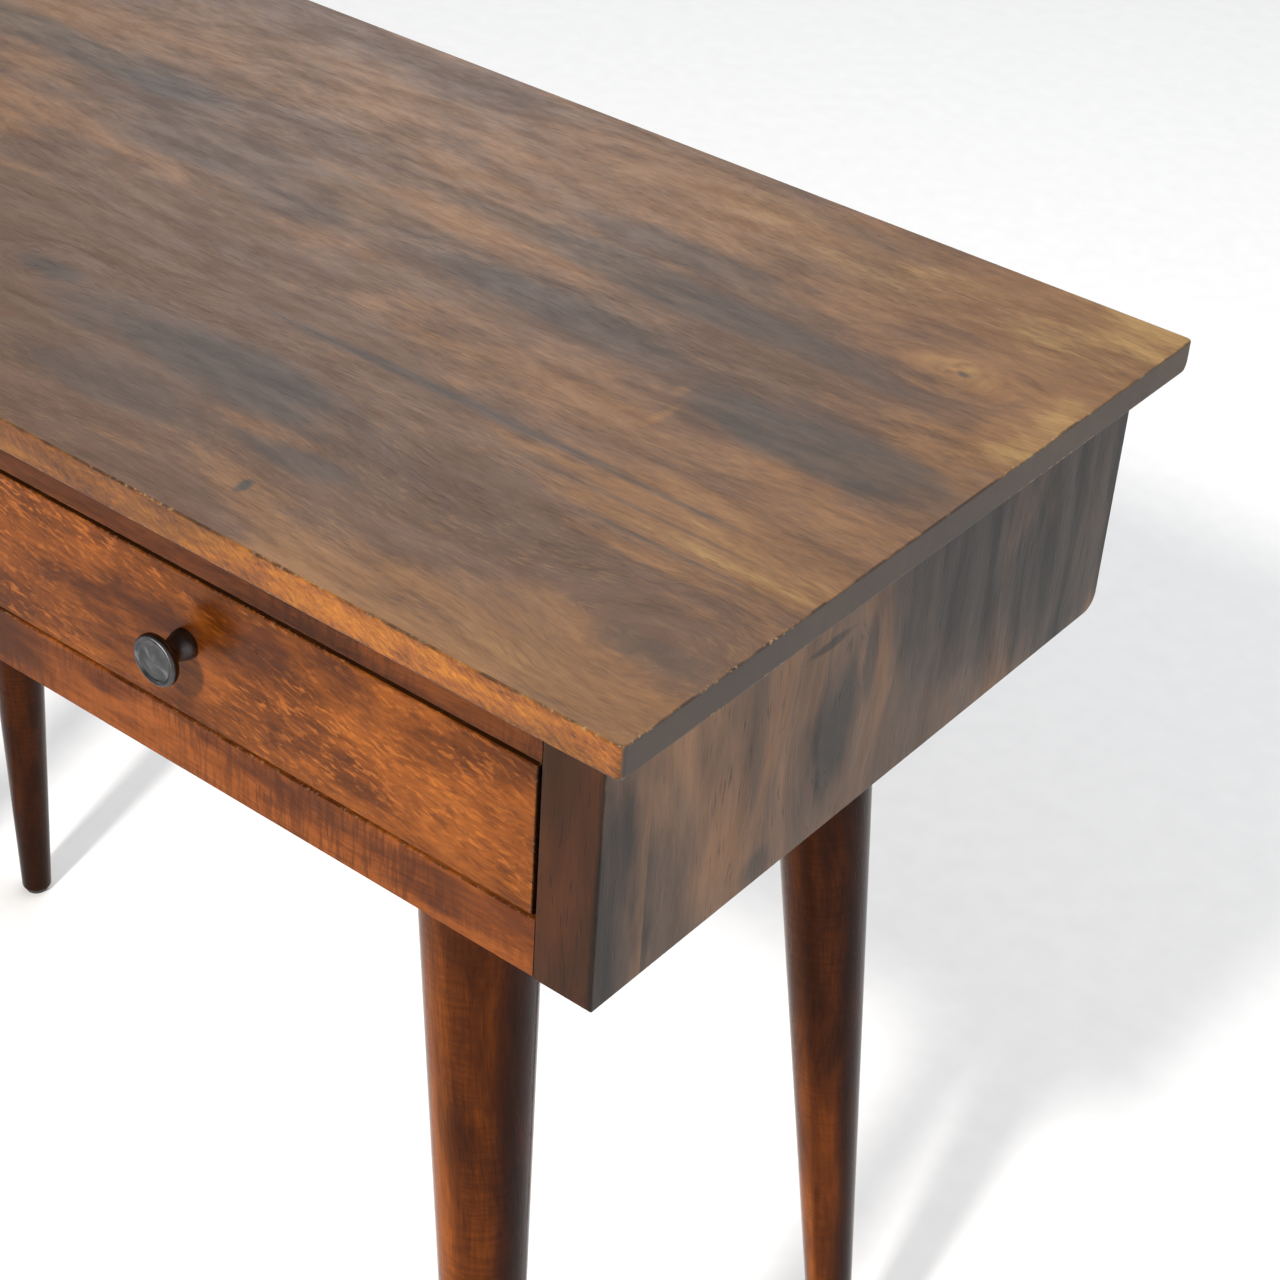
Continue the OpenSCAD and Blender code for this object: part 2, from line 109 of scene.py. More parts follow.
def add_light():
    # the room is darker in front of the table than behind it
    world = bpy.data.worlds.new("studio")
    world.use_nodes = True
    tree = world.node_tree
    sky = tree.nodes["Background"]
    sky.inputs["Color"].default_value = (0.97, 0.98, 1.0, 1)
    direction = tree.nodes.new("ShaderNodeSeparateXYZ")
    tree.links.new(tree.nodes.new("ShaderNodeTexCoord").outputs["Generated"], direction.inputs[0])
    fade = tree.nodes.new("ShaderNodeMapRange")
    fade.inputs["From Min"].default_value = -0.7
    fade.inputs["From Max"].default_value = 0.5
    fade.inputs["To Min"].default_value = 0.30
    fade.inputs["To Max"].default_value = 0.55
    tree.links.new(direction.outputs["Y"], fade.inputs["Value"])
    tree.links.new(fade.outputs["Result"], sky.inputs["Strength"])
    scene.world = world
    scene.view_settings.view_transform = "Standard"
    add_area("key", (0.55, -2.40, 2.63), (0.2, -0.19, 0.68), 0.30, 110, (1.0, 0.97, 0.92))
    add_area("overhead", (-1.5, 2.1, 2.6), (0, 0, 0.7), 2.2, 9, (0.95, 0.98, 1.0))
    add_area("window", (-2.7, 3.1, 2.5), (0, 0, 0.7), 1.7, 6, (0.95, 0.98, 1.0))
    add_area("ceiling", (0.8, 1.6, 4.6), (0.6, 1.0, 0), 3.0, 60, (1.0, 1.0, 1.0))
    add_area("wash", (3.4, 2.8, 2.4), (3.4, 2.8, 0), 2.4, 24, (1.0, 1.0, 1.0))
    add_area("fill", (3.2, 0.45, 1.4), (0, 0, 0.5), 2.0, 27, (0.97, 0.98, 1.0))


def add_floor():
    mesh = bpy.data.meshes.new("floor")
    half = 9.0
    corners = [(-half, -half, 0), (half, -half, 0), (half, half, 0), (-half, half, 0)]
    mesh.from_pydata(corners, [], [(0, 1, 2, 3)])
    floor = bpy.data.objects.new("floor", mesh)
    scene.collection.objects.link(floor)
    paint = Nodes("floor_paint")
    grain = paint.noise(paint.object_coords(), 40, 3, 0.5)
    paint.set("Base Color", paint.ramp(grain, [(0.3, (0.90, 0.90, 0.90)), (0.7, (0.93, 0.93, 0.93))]))
    paint.bsdf.inputs["Roughness"].default_value = 0.9
    mesh.materials.append(paint.material)


# ---------- node materials ----------


class Nodes:
    """A material with one Principled shader, and short calls that add nodes in front of it."""

    def __init__(self, name):
        self.material = bpy.data.materials.new(name)
        self.material.use_nodes = True
        self.tree = self.material.node_tree
        self.tree.nodes.clear()
        output = self.add("ShaderNodeOutputMaterial")
        self.bsdf = self.add("ShaderNodeBsdfPrincipled")
        self.link(self.bsdf.outputs["BSDF"], output.inputs["Surface"])

    def add(self, kind):
        return self.tree.nodes.new(kind)

    def link(self, source, target):
        self.tree.links.new(source, target)

    def put(self, value, socket):
        """Links a socket, or sets a number or a tuple."""
        if isinstance(value, bpy.types.NodeSocket):
            self.link(value, socket)
        elif isinstance(value, (int, float)):
            socket.default_value = value
        else:
            socket.default_value = tuple(value) + (1,) * (len(socket.default_value) - len(value))

    def set(self, name, value):
        self.put(value, self.bsdf.inputs[name])

    def object_coords(self):
        return self.add("ShaderNodeTexCoord").outputs["Object"]

    def normal(self):
        return self.add("ShaderNodeTexCoord").outputs["Normal"]

    def axes(self, vector):
        node = self.add("ShaderNodeSeparateXYZ")
        self.link(vector, node.inputs[0])
        return node.outputs

    def vector(self, x, y, z):
        node = self.add("ShaderNodeCombineXYZ")
        for value, socket in zip((x, y, z), node.inputs):
            self.put(value, socket)
        return node.outputs[0]

    def place(self, vector, location=(0, 0, 0), rotation=(0, 0, 0), scale=(1, 1, 1)):
        node = self.add("ShaderNodeMapping")
        self.link(vector, node.inputs["Vector"])
        node.inputs["Location"].default_value = location
        node.inputs["Rotation"].default_value = rotation
        node.inputs["Scale"].default_value = scale
        return node.outputs[0]

    def noise(self, vector, scale, detail=3, roughness=0.5, distortion=0.0, colour=False):
        node = self.add("ShaderNodeTexNoise")
        self.link(vector, node.inputs["Vector"])
        node.inputs["Scale"].default_value = scale
        node.inputs["Detail"].default_value = detail
        node.inputs["Roughness"].default_value = roughness
        node.inputs["Distortion"].default_value = distortion
        return node.outputs["Color" if colour else "Fac"]

    def math(self, operation, a, b=0.0, clamp=False):
        node = self.add("ShaderNodeMath")
        node.operation = operation
        node.use_clamp = clamp
        self.put(a, node.inputs[0])
        self.put(b, node.inputs[1])
        return node.outputs[0]

    def vector_math(self, operation, a, b):
        node = self.add("ShaderNodeVectorMath")
        node.operation = operation
        self.put(a, node.inputs[0])
        self.put(b, node.inputs[1])
        return node.outputs["Value" if operation == "LENGTH" else "Vector"]

    def spread(self, value, low, high, out_low=0.0, out_high=1.0):
        """A smooth step from low to high."""
        node = self.add("ShaderNodeMapRange")
        node.interpolation_type = "SMOOTHSTEP"
        self.put(value, node.inputs["Value"])
        node.inputs["From Min"].default_value = low
        node.inputs["From Max"].default_value = high
        node.inputs["To Min"].default_value = out_low
        node.inputs["To Max"].default_value = out_high
        return node.outputs["Result"]

    def spread_linear(self, value, low, high):
        node = self.add("ShaderNodeMapRange")
        self.put(value, node.inputs["Value"])
        node.inputs["From Min"].default_value = low
        node.inputs["From Max"].default_value = high
        return node.outputs["Result"]

    def ramp(self, factor, stops, constant=False):
        node = self.add("ShaderNodeValToRGB")
        band = node.color_ramp
        band.interpolation = "CONSTANT" if constant else "LINEAR"
        while len(band.elements) < len(stops):
            band.elements.new(0.5)
        for element, (position, colour) in zip(band.elements, stops):
            element.position = position
            element.color = tuple(colour) + (1,)
        self.link(factor, node.inputs[0])
        return node.outputs[0]

    def mix(self, factor, a, b, blend="MIX"):
        node = self.add("ShaderNodeMix")
        node.data_type = "RGBA"
        node.blend_type = blend
        self.put(factor, node.inputs["Factor"])
        self.put(a, node.inputs[6])
        self.put(b, node.inputs[7])
        return node.outputs[2]

    def blob(self, here, centre, half, ragged, amount):
        """Coordinates that are 0 at centre and 1 long at half sizes away, shaken so that an outline is ragged."""
        scale = tuple(1 / h for h in half)
        local = self.place(here, location=tuple(-c * s for c, s in zip(centre, scale)), scale=scale)
        return self.vector_math("ADD", local, self.vector_math("MULTIPLY", ragged, (amount,) * 3))

    def bump(self, height, strength, distance):
        node = self.add("ShaderNodeBump")
        node.inputs["Strength"].default_value = strength
        node.inputs["Distance"].default_value = distance
        self.link(height, node.inputs["Height"])
        self.link(node.outputs[0], self.bsdf.inputs["Normal"])


def scaled(colour, factor):
    return tuple(c * factor for c in colour)


def wood(
    name,
    grain="X",
    seed=0.0,
    cool=(0.15, 0.068, 0.036),
    warm=(0.30, 0.140, 0.052),
    heart=(0.050, 0.038, 0.032),
    gold=None,
    contrast=1.0,
    drift_scale=(5, 15),
    streak_scale=(9, 80),
    heart_amount=0.5,
    patches=(),
    zones=(),
    swirls=(),
    staves=(),
    fleck=0.35,
    fleck_scale=(110, 620),
    fleck_turn=(0, 0, 0),
    pores=0.35,
    cross=0.0,
    end_dark=0.5,
    gap_shade_faces=(),
    face_tones_and_light=(),
    strokes=None,
    edge=0.7,
    edge_colour=None,
    arris_dark=0.7,
    grain_drift=0.0,
    pore_scale=(80, 1150),
    fibre_scale=(45, 760),
    roughness=(0.30, 0.44),
    specular=0.24,
    turn=(0, 0, 0),
):
    """Stained wood whose fibres run along the axis grain. Places are in metres, in the table's own coordinates.

    cool, warm, gold: the stain's tones, from dark to light.
    heart: dark heartwood, in drifts (heart_amount) and in patches (centre, half sizes, amount).
    zones: (centre, half sizes, amount) that make the tone lighter or darker.
    swirls: (centre, half sizes) round which the fibres bend.
    staves: an axis and the places along it where glued strips meet.
    fleck, pores, cross: amounts of short flecks, of open pores and of bands across the grain.
    end_dark: how much darker and duller end grain is.
    gap_shade_faces: (axis, sign, threshold) of faces in the narrow gaps, painted nearly black as shade.
    face_tones_and_light: (axis, sign, low, high, tint) of faces with another tone; on some pieces this is painted
    light on a side turned to the lamps and painted shade on a side turned away.
    strokes: (axis, sign, rotation, amount) of slanting figure on one face.
    edge, edge_colour, arris_dark: rubbed chips and dark stain along the arrises.
    grain_drift: how much the fine fibres alternate between the tones.
    turn: the rotation that brings a leaning piece's fibres upright."""
    m = Nodes(name)
    here = m.object_coords()
    turned = m.place(here, rotation=turn) if any(turn) else here
    x, y, z = m.axes(turned)
    along, side, depth = {"X": (x, y, z), "Y": (y, x, z), "Z": (z, x, y)}[grain]
    tone_shift = None
    if staves:
        across, edges = staves
        low, high = edges[0], edges[-1]
        share = m.spread_linear({"X": x, "Y": y, "Z": z}[across], low, high)
        stops = []
        for k, edge_place in enumerate(edges[:-1]):
            shade = (math.sin(12.9898 * (k + 1) + seed) * 43758.5453) % 1.0
            stops.append(((edge_place - low) / (high - low), (shade, shade, shade)))
        tone_shift = m.axes(m.ramp(share, stops, constant=True))[0]
        along = m.math("ADD", along, m.math("MULTIPLY", tone_shift, 3.7))
    g = m.place(m.vector(along, side, depth), location=(seed * 1.7, seed * 0.9, seed * 0.4))

    ragged = m.noise(m.place(g, scale=(15, 46, 46)), 1, 3, 0.6, colour=True)
    ragged = m.vector_math("SUBTRACT", ragged, (0.5, 0.5, 0.5))
    # the fibres part and flow round a knot
    for centre, half in swirls:
        local = m.blob(here, centre, half, ragged, 0.9)
        near = m.spread(m.vector_math("LENGTH", local, (0, 0, 0)), 0.0, 1.6, 0.92, 0.0)
        push = m.math("MULTIPLY", m.math("MULTIPLY", m.axes(local)[1], -half[1]), near)
        g = m.vector_math("ADD", g, m.vector(0, push, 0) if grain == "X" else m.vector(0, 0, push))

    bend = m.noise(m.place(g, scale=(3.2, 9, 9)), 1, 2, 0.5, colour=True)
    bend = m.vector_math("SUBTRACT", bend, (0.5, 0.5, 0.5))
    g = m.vector_math("ADD", g, m.vector_math("MULTIPLY", bend, (0.0, 0.045, 0.045)))
    streak = m.noise(m.place(g, scale=(streak_scale[0], streak_scale[1], streak_scale[1])), 1, 5, 0.62)
    broad = m.noise(m.place(g, scale=(3.6, 26, 26)), 1, 3, 0.5)
    fibre = m.noise(m.place(g, scale=(fibre_scale[0], fibre_scale[1], fibre_scale[1])), 1, 3, 0.65)

    # two tones in slow drifts
    drift_place = m.place(g, scale=(drift_scale[0], drift_scale[1], drift_scale[1]), location=(4, 1, 6))
    drift = m.noise(drift_place, 1, 4, 0.6)
    if tone_shift is not None:
        drift = m.math("ADD", drift, m.math("MULTIPLY", m.math("SUBTRACT", tone_shift, 0.5), 0.09))
    for centre, half, amount in zones:
        distance = m.vector_math("LENGTH", m.blob(here, centre, half, ragged, 2.2), (0, 0, 0))
        drift = m.math("ADD", drift, m.spread(distance, 0.2, 1.3, amount, 0.0))
    if grain_drift:
        fine = m.math("SUBTRACT", m.math("ADD", streak, fibre), 1.0)
        drift = m.math("ADD", drift, m.math("MULTIPLY", fine, grain_drift))
    colour = m.mix(m.spread(drift, WARM_FROM, WARM_FROM + 0.26), cool, warm)
    if gold:
        colour = m.mix(m.spread(drift, WARM_FROM + 0.24, WARM_FROM + 0.50), colour, gold)

    # streaks, growth rings and fibres make it lighter and darker
    rings = m.math("SINE", m.math("MULTIPLY", m.noise(m.place(g, scale=(1.8, 11, 11)), 1, 2, 0.4), 95))
    total = m.math("ADD", m.math("MULTIPLY", broad, 0.34), m.math("MULTIPLY", streak, 0.36))
    total = m.math("ADD", total, m.math("MULTIPLY", fibre, 0.30))
    total = m.math("ADD", total, m.math("MULTIPLY", rings, 0.014))
    c = contrast
    dim = (1 - 0.42 * c, 1 - 0.46 * c, 1 - 0.50 * c)
    lit = (1 + 0.36 * c, 1 + 0.40 * c, 1 + 0.44 * c)
    colour = m.mix(1.0, colour, m.ramp(total, [(0.38, dim), (0.50, (1, 1, 1)), (0.62, lit)]), "MULTIPLY")

    # short flecks that catch the light, in drifts, and dark ones between them
    tilted = m.place(g, rotation=fleck_turn) if any(fleck_turn) else g
    f = m.place(tilted, scale=(fleck_scale[0], fleck_scale[1], fleck_scale[1]))
    bright = m.spread(m.noise(f, 1, 2, 0.6, 0.5), 0.50, 0.68)
    zone = m.spread(m.noise(m.place(g, scale=(10, 34, 34)), 1, 3, 0.6), 0.36, 0.62)
    bright = m.math("MULTIPLY", m.math("MULTIPLY", bright, zone), fleck)
    colour = m.mix(bright, colour, scaled(gold or warm, 1.4))
    dull = m.spread(m.noise(m.place(f, location=(3, 7, 1)), 1, 2, 0.6, 0.5), 0.50, 0.66)
    colour = m.mix(m.math("MULTIPLY", dull, fleck * 0.6), colour, scaled(cool, 0.5))

    # bands across the grain, as in fiddleback figure
    if cross:
        bands = m.noise(m.place(g, scale=(380, 60, 60)), 1, 3, 0.65)
        zone = m.spread(m.noise(m.place(g, scale=(6, 24, 24), location=(5, 0, 0)), 1, 2, 0.5), 0.36, 0.56)
        bands = m.math("MULTIPLY", m.spread(bands, 0.42, 0.60), m.math("MULTIPLY", zone, cross))
        colour = m.mix(bands, colour, scaled(cool, 0.45))

    # dark heartwood: drifts anywhere, and patches with ragged edges
    heartwood = m.noise(m.place(g, scale=(3.4, 15, 15), location=(9, 2, 4)), 1, 3, 0.5)
    heartwood = m.math("MULTIPLY", m.spread(heartwood, HEART_FROM, HEART_FROM + 0.16), heart_amount)
    for centre, half, amount in patches:
        distance = m.vector_math("LENGTH", m.blob(here, centre, half, ragged, 1.4), (0, 0, 0))
        heartwood = m.math("MAXIMUM", heartwood, m.spread(distance, 0.45, 1.25, amount, 0.0))
    heartwood = m.math("MULTIPLY", heartwood, m.spread(streak, 0.30, 0.62, 1.06, 0.88), clamp=True)
    colour = m.mix(heartwood, colour, heart)

    # open pores
    pore_place = m.place(g, scale=(pore_scale[0], pore_scale[1], pore_scale[1]), location=(1, 5, 2))
    p = m.noise(pore_place, 1, 1, 0.5)
    p = m.math("MULTIPLY", m.spread(p, 0.60, 0.72), m.spread(broad, 0.35, 0.6, 1.0, 0.45))
    colour = m.mix(m.math("MULTIPLY", p, pores), colour, scaled(cool, 0.2))

    # end grain drinks the stain, and faces in the narrow gaps get painted shade, nearly black
    faces = dict(zip("XYZ", m.axes(m.normal())))
    if end_dark:
        facing = m.spread(m.math("ABSOLUTE", faces[grain]), 0.6, 0.9)
        colour = m.mix(m.math("MULTIPLY", facing, end_dark), colour, heart)
        dull_end = m.math("MULTIPLY", facing, 0.55)
    # faces with a tone of their own, and on some pieces painted light and painted shade by which way a face turns
    for axis, sign, low, high, tint in face_tones_and_light:
        facing = m.spread(m.math("MULTIPLY", faces[axis], sign), low, high)
        colour = m.mix(facing, colour, m.mix(1.0, colour, tint, "MULTIPLY"))
    # slanting strokes of figure on one face
    if strokes:
        axis, sign, slant, amount = strokes
        lines = m.noise(m.place(m.place(here, rotation=slant), scale=(200, 60, 760)), 1, 4, 0.7, 0.8)
        clouds = m.noise(m.place(here, scale=(20, 22, 70), location=(2, 0, 0)), 1, 4, 0.6)
        lines = m.math("ADD", m.math("MULTIPLY", lines, 0.5), m.math("MULTIPLY", clouds, 0.5))
        dark, middle, light = (0.34, 0.24, 0.20), (0.95, 0.92, 0.85), (1.50, 1.75, 1.9)
        lines = m.ramp(lines, [(0.38, dark), (0.50, middle), (0.62, light)])
        facing = m.spread(m.math("MULTIPLY", faces[axis], sign), 0.60, 0.90, 0.0, amount)
        colour = m.mix(facing, colour, m.mix(1.0, colour, lines, "MULTIPLY"))
    # painted shade: faces in the narrow gaps are painted nearly black, as if no light reached them
    for axis, sign, low in gap_shade_faces:
        facing = m.spread(m.math("MULTIPLY", faces[axis], sign), low, low + 0.17)
        colour = m.mix(m.math("MULTIPLY", facing, 0.90), colour, (0.014, 0.005, 0.002))

    # arrises are dark with stain, and chipped and rubbed through in places
    worn = m.add("ShaderNodeAttribute")
    worn.attribute_name = "worn"
    worn = worn.outputs["Fac"]
    stained = m.spread(m.noise(m.place(here, scale=(60, 60, 60)), 1, 4, 0.65), 0.42, 0.56)
    stained = m.math("MULTIPLY", m.math("MULTIPLY", worn, stained), arris_dark)
    colour = m.mix(stained, colour, scaled(cool, 0.22))
    chips = m.spread(m.noise(m.place(here, scale=(480, 480, 480)), 1, 3, 0.6), 0.50, 0.66)
    zone = m.spread(m.noise(m.place(here, scale=(14, 14, 14), location=(3, 8, 5)), 1, 3, 0.6), 0.40, 0.58)
    rubbed = m.math("MULTIPLY", m.math("MULTIPLY", worn, chips), m.math("MULTIPLY", zone, edge))
    colour = m.mix(rubbed, colour, edge_colour or scaled(warm, 1.9))

    m.set("Base Color", colour)
    rough = m.spread(streak, 0.3, 0.7, roughness[1], roughness[0])
    m.set("Roughness", m.math("MAXIMUM", rough, dull_end) if end_dark else rough)
    m.bsdf.inputs["Specular IOR Level"].default_value = specular
    height = m.math("SUBTRACT", m.math("MULTIPLY", fibre, 0.5), m.math("MULTIPLY", p, 0.8))
    height = m.math("ADD", height, m.math("MULTIPLY", streak, 0.4))
    m.bump(height, 0.22, 0.0005)
    return m.material


def metal(name, colour, worn, roughness, turned_axis=None):
    """Metal with fine handling marks. Round turned_axis a lathe has left fine rings, which stretch the highlights."""
    m = Nodes(name)
    if turned_axis:
        rings = m.add("ShaderNodeTangent")
        rings.direction_type = "RADIAL"
        rings.axis = turned_axis
        m.link(rings.outputs["Tangent"], m.bsdf.inputs["Tangent"])
        m.bsdf.inputs["Anisotropic"].default_value = 0.9
    here = m.object_coords()
    marks = m.noise(m.place(here, scale=(900, 900, 900)), 1, 4, 0.6)
    smears = m.noise(m.place(here, scale=(160, 160, 160)), 1, 3, 0.5)
    m.set("Base Color", m.mix(m.spread(smears, 0.35, 0.7), colour, worn))
    m.bsdf.inputs["Metallic"].default_value = 1.0
    m.set("Roughness", m.spread(smears, 0.3, 0.7, roughness[0], roughness[1]))
    m.bump(marks, 0.05, 0.0001)
    return m.material


def nylon(name):
    m = Nodes(name)
    speckle = m.noise(m.object_coords(), 700, 3, 0.6)
    m.set("Base Color", m.ramp(speckle, [(0.3, (0.020, 0.019, 0.018)), (0.7, (0.034, 0.032, 0.030))]))
    m.bsdf.inputs["Roughness"].default_value = 0.5
    m.bump(speckle, 0.2, 0.0002)
    return m.material


def plywood(name, seed):
    """Birch veneer on its faces and dark and pale plies at its edges."""
    m = Nodes(name)
    here = m.object_coords()
    g = m.place(here, location=(seed, seed, 0))
    broad = m.noise(m.place(g, scale=(3, 26, 26)), 1, 4, 0.55, 0.6)
    fibre = m.noise(m.place(g, scale=(30, 900, 900)), 1, 3, 0.6)
    total = m.math("ADD", m.math("MULTIPLY", broad, 0.7), m.math("MULTIPLY", fibre, 0.3))
    face = m.ramp(total, [(0.36, (0.47, 0.31, 0.17)), (0.52, (0.60, 0.43, 0.26)), (0.66, (0.68, 0.51, 0.33))])
    plies = m.math("FRACT", m.math("MULTIPLY", m.axes(here)[2], 500))
    edge = m.ramp(plies, [(0.0, (0.22, 0.12, 0.055)), (0.5, (0.52, 0.36, 0.20))], constant=True)
    upright = m.spread(m.math("ABSOLUTE", m.axes(m.normal())[2]), 0.5, 0.9)
    m.set("Base Color", m.mix(upright, edge, face))
    m.set("Roughness", m.spread(fibre, 0.3, 0.7, 0.62, 0.5))
    m.bump(fibre, 0.2, 0.0003)
    return m.material


# ---------- mesh makers ----------


def finish_mesh(bm, name, material, body, nodes):
    """Turns a bmesh into a piece that stands for CAD nodes, smooth on its curves and flat on its faces."""
    bmesh.ops.recalc_face_normals(bm, faces=bm.faces)
    mesh = bpy.data.meshes.new(name)
    bm.to_mesh(mesh)
    bm.free()
    for polygon in mesh.polygons:
        polygon.use_smooth = True
    mesh.set_sharp_from_angle(angle=SHARP_ANGLE)
    mesh.materials.append(material)
    piece = bpy.data.objects.new(name, mesh)
    scene.collection.objects.link(piece)
    weighted = piece.modifiers.new("flat faces", "WEIGHTED_NORMAL")
    weighted.keep_sharp = True
    weighted.weight = 100
    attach(piece, body)
    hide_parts(*nodes)


def give_material(node, material):
    """A CAD solid that stays gets a better material."""
    NODES[node].data.materials.clear()
    NODES[node].data.materials.append(material)


def outline(a1, a2, b1, b2, radii):
    """A rectangle's points with its corners rounded; radii are for corners (a1 b1), (a2 b1), (a2 b2), (a1 b2)."""
    points = []
    corners = ((a1, b1, 1, 1, 180), (a2, b1, -1, 1, 270), (a2, b2, -1, -1, 0), (a1, b2, 1, -1, 90))
    for (a, b, da, db, start), r in zip(corners, radii):
        for k in range(CORNER_STEPS + 1):
            t = math.radians(start + 90 * k / CORNER_STEPS)
            points.append((a + da * r + r * math.cos(t), b + db * r + r * math.sin(t)))
    return points


def slab(name, axis, low, high, material, body, nodes, corners, rims_low, rims_high):
    """A board with rounded corners in its outline and rounded rims round its two faces across axis.
    Radii are in mm. Rims are for sides a1, a2, b1 and b2, where a and b are the other two axes in order."""
    k = "XYZ".index(axis)
    ia, ib = [i for i in range(3) if i != k]
    shares = (0, 0.015, 0.06, 0.14, 0.26, 0.42, 0.62, 0.82, 1)

    def levels(rims):
        return sorted({round(r * s, 4) for r in set(rims) for s in shares})

    def inset(r, h):
        return r - math.sqrt(max(0.0, r * r - (r - h) ** 2)) if h < r else 0.0

    rings = [(h * MM, [inset(r, h) * MM for r in rims_low]) for h in levels(rims_low)]
    thick = high[k] - low[k]
    rings += [(thick - h * MM, [inset(r, h) * MM for r in rims_high]) for h in reversed(levels(rims_high))]
    bm = bmesh.new()
    loops = []
    for h, (a1, a2, b1, b2) in rings:
        ends = ((a1, b1), (a2, b1), (a2, b2), (a1, b2))
        radii = [max(c * MM - min(e), 0.00015) for c, e in zip(corners, ends)]
        loop = []
        for a, b in outline(low[ia] + a1, high[ia] - a2, low[ib] + b1, high[ib] - b2, radii):
            point = [0.0, 0.0, 0.0]
            point[k], point[ia], point[ib] = low[k] + h, a, b
            loop.append(bm.verts.new(point))
        loops.append(loop)
    worn = bm.faces.layers.float.new("worn")
    for one, two in zip(loops, loops[1:]):
        for i in range(len(one)):
            j = (i + 1) % len(one)
            face = bm.faces.new((one[i], one[j], two[j], two[i]))
            face.normal_update()
            face[worn] = float(0.03 < abs(face.normal[k]) < 0.999)
    bm.faces.new(loops[0])
    bm.faces.new(loops[-1])
    finish_mesh(bm, name, material, body, nodes)


def eased(node, name, material, body, ease=0.6, segments=2):
    """A CAD board with the edges of its outer box softened; its holes, grooves and joints stay as they are."""
    bm = bmesh.new()
    bm.from_mesh(NODES[node].data)
    bmesh.ops.remove_doubles(bm, verts=bm.verts, dist=1e-6)
    bmesh.ops.dissolve_limit(bm, angle_limit=math.radians(0.5), verts=bm.verts, edges=bm.edges)
    low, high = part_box(node)
    picked = []
    for edge in bm.edges:
        if len(edge.link_faces) != 2 or edge.calc_face_angle_signed(0) < math.radians(40):
            continue
        a, b = edge.verts[0].co, edge.verts[1].co
        planes = 0
        for i in range(3):
            for limit in (low[i], high[i]):
                if abs(a[i] - limit) < 1e-5 and abs(b[i] - limit) < 1e-5:
                    planes += 1
        if planes >= 2:
            picked.append(edge)
    worn = bm.faces.layers.float.new("worn")
    made = bmesh.ops.bevel(
        bm, geom=picked, offset=ease * MM, segments=segments, profile=0.5, affect="EDGES", clamp_overlap=True
    )
    for face in made["faces"]:
        face[worn] = 1.0
    finish_mesh(bm, name, material, body, [node])


def rings_to_mesh(bm, loops):
    """Joins rings of points into a closed tube."""
    for one, two in zip(loops, loops[1:]):
        for i in range(len(one)):
            j = (i + 1) % len(one)
            bm.faces.new((one[i], one[j], two[j], two[i]))
    bm.faces.new(loops[0])
    bm.faces.new(loops[-1])


def smooth_path(points, steps):
    """Catmull-Rom points through a profile; a point given twice stays a corner."""
    path = []
    for i in range(len(points) - 1):
        p1, p2 = Vector(points[i]), Vector(points[i + 1])
        if (p2 - p1).length < 1e-9:
            continue
        p0 = Vector(points[i - 1]) if i and points[i - 1] != points[i] else p1
        p3 = Vector(points[i + 2]) if i + 2 < len(points) and points[i + 2] != points[i + 1] else p2
        for k in range(steps):
            t = k / steps
            square = (2 * p0 - 5 * p1 + 4 * p2 - p3) * t**2
            cube = (3 * p1 - 3 * p2 + p3 - p0) * t**3
            path.append(0.5 * (2 * p1 + (p2 - p0) * t + square + cube))
    path.append(Vector(points[-1]))
    return path


def lathe(bm, profile, matrix):
    """Turns (radius, height) pairs round matrix's Z axis. A radius of 0 closes the end with one point."""
    loops = []
    for r, h in profile:
        if r < 1e-7:
            loops.append([bm.verts.new(matrix @ Vector((0, 0, h)))])
            continue
        loop = []
        for i in range(ROUND_SEGMENTS):
            t = 2 * math.pi * i / ROUND_SEGMENTS
            loop.append(bm.verts.new(matrix @ Vector((r * math.cos(t), r * math.sin(t), h))))
        loops.append(loop)
    for one, two in zip(loops, loops[1:]):
        for i in range(ROUND_SEGMENTS):
            j = (i + 1) % ROUND_SEGMENTS
            corner = [one[i % len(one)], one[j % len(one)], two[j % len(two)], two[i % len(two)]]
            unique = [v for n, v in enumerate(corner) if v not in corner[:n]]
            if len(unique) > 2:
                bm.faces.new(unique)
    if len(loops[0]) > 1:
        bm.faces.new(loops[0])
    if len(loops[-1]) > 1:
        bm.faces.new(loops[-1])


# ---------- the pieces ----------


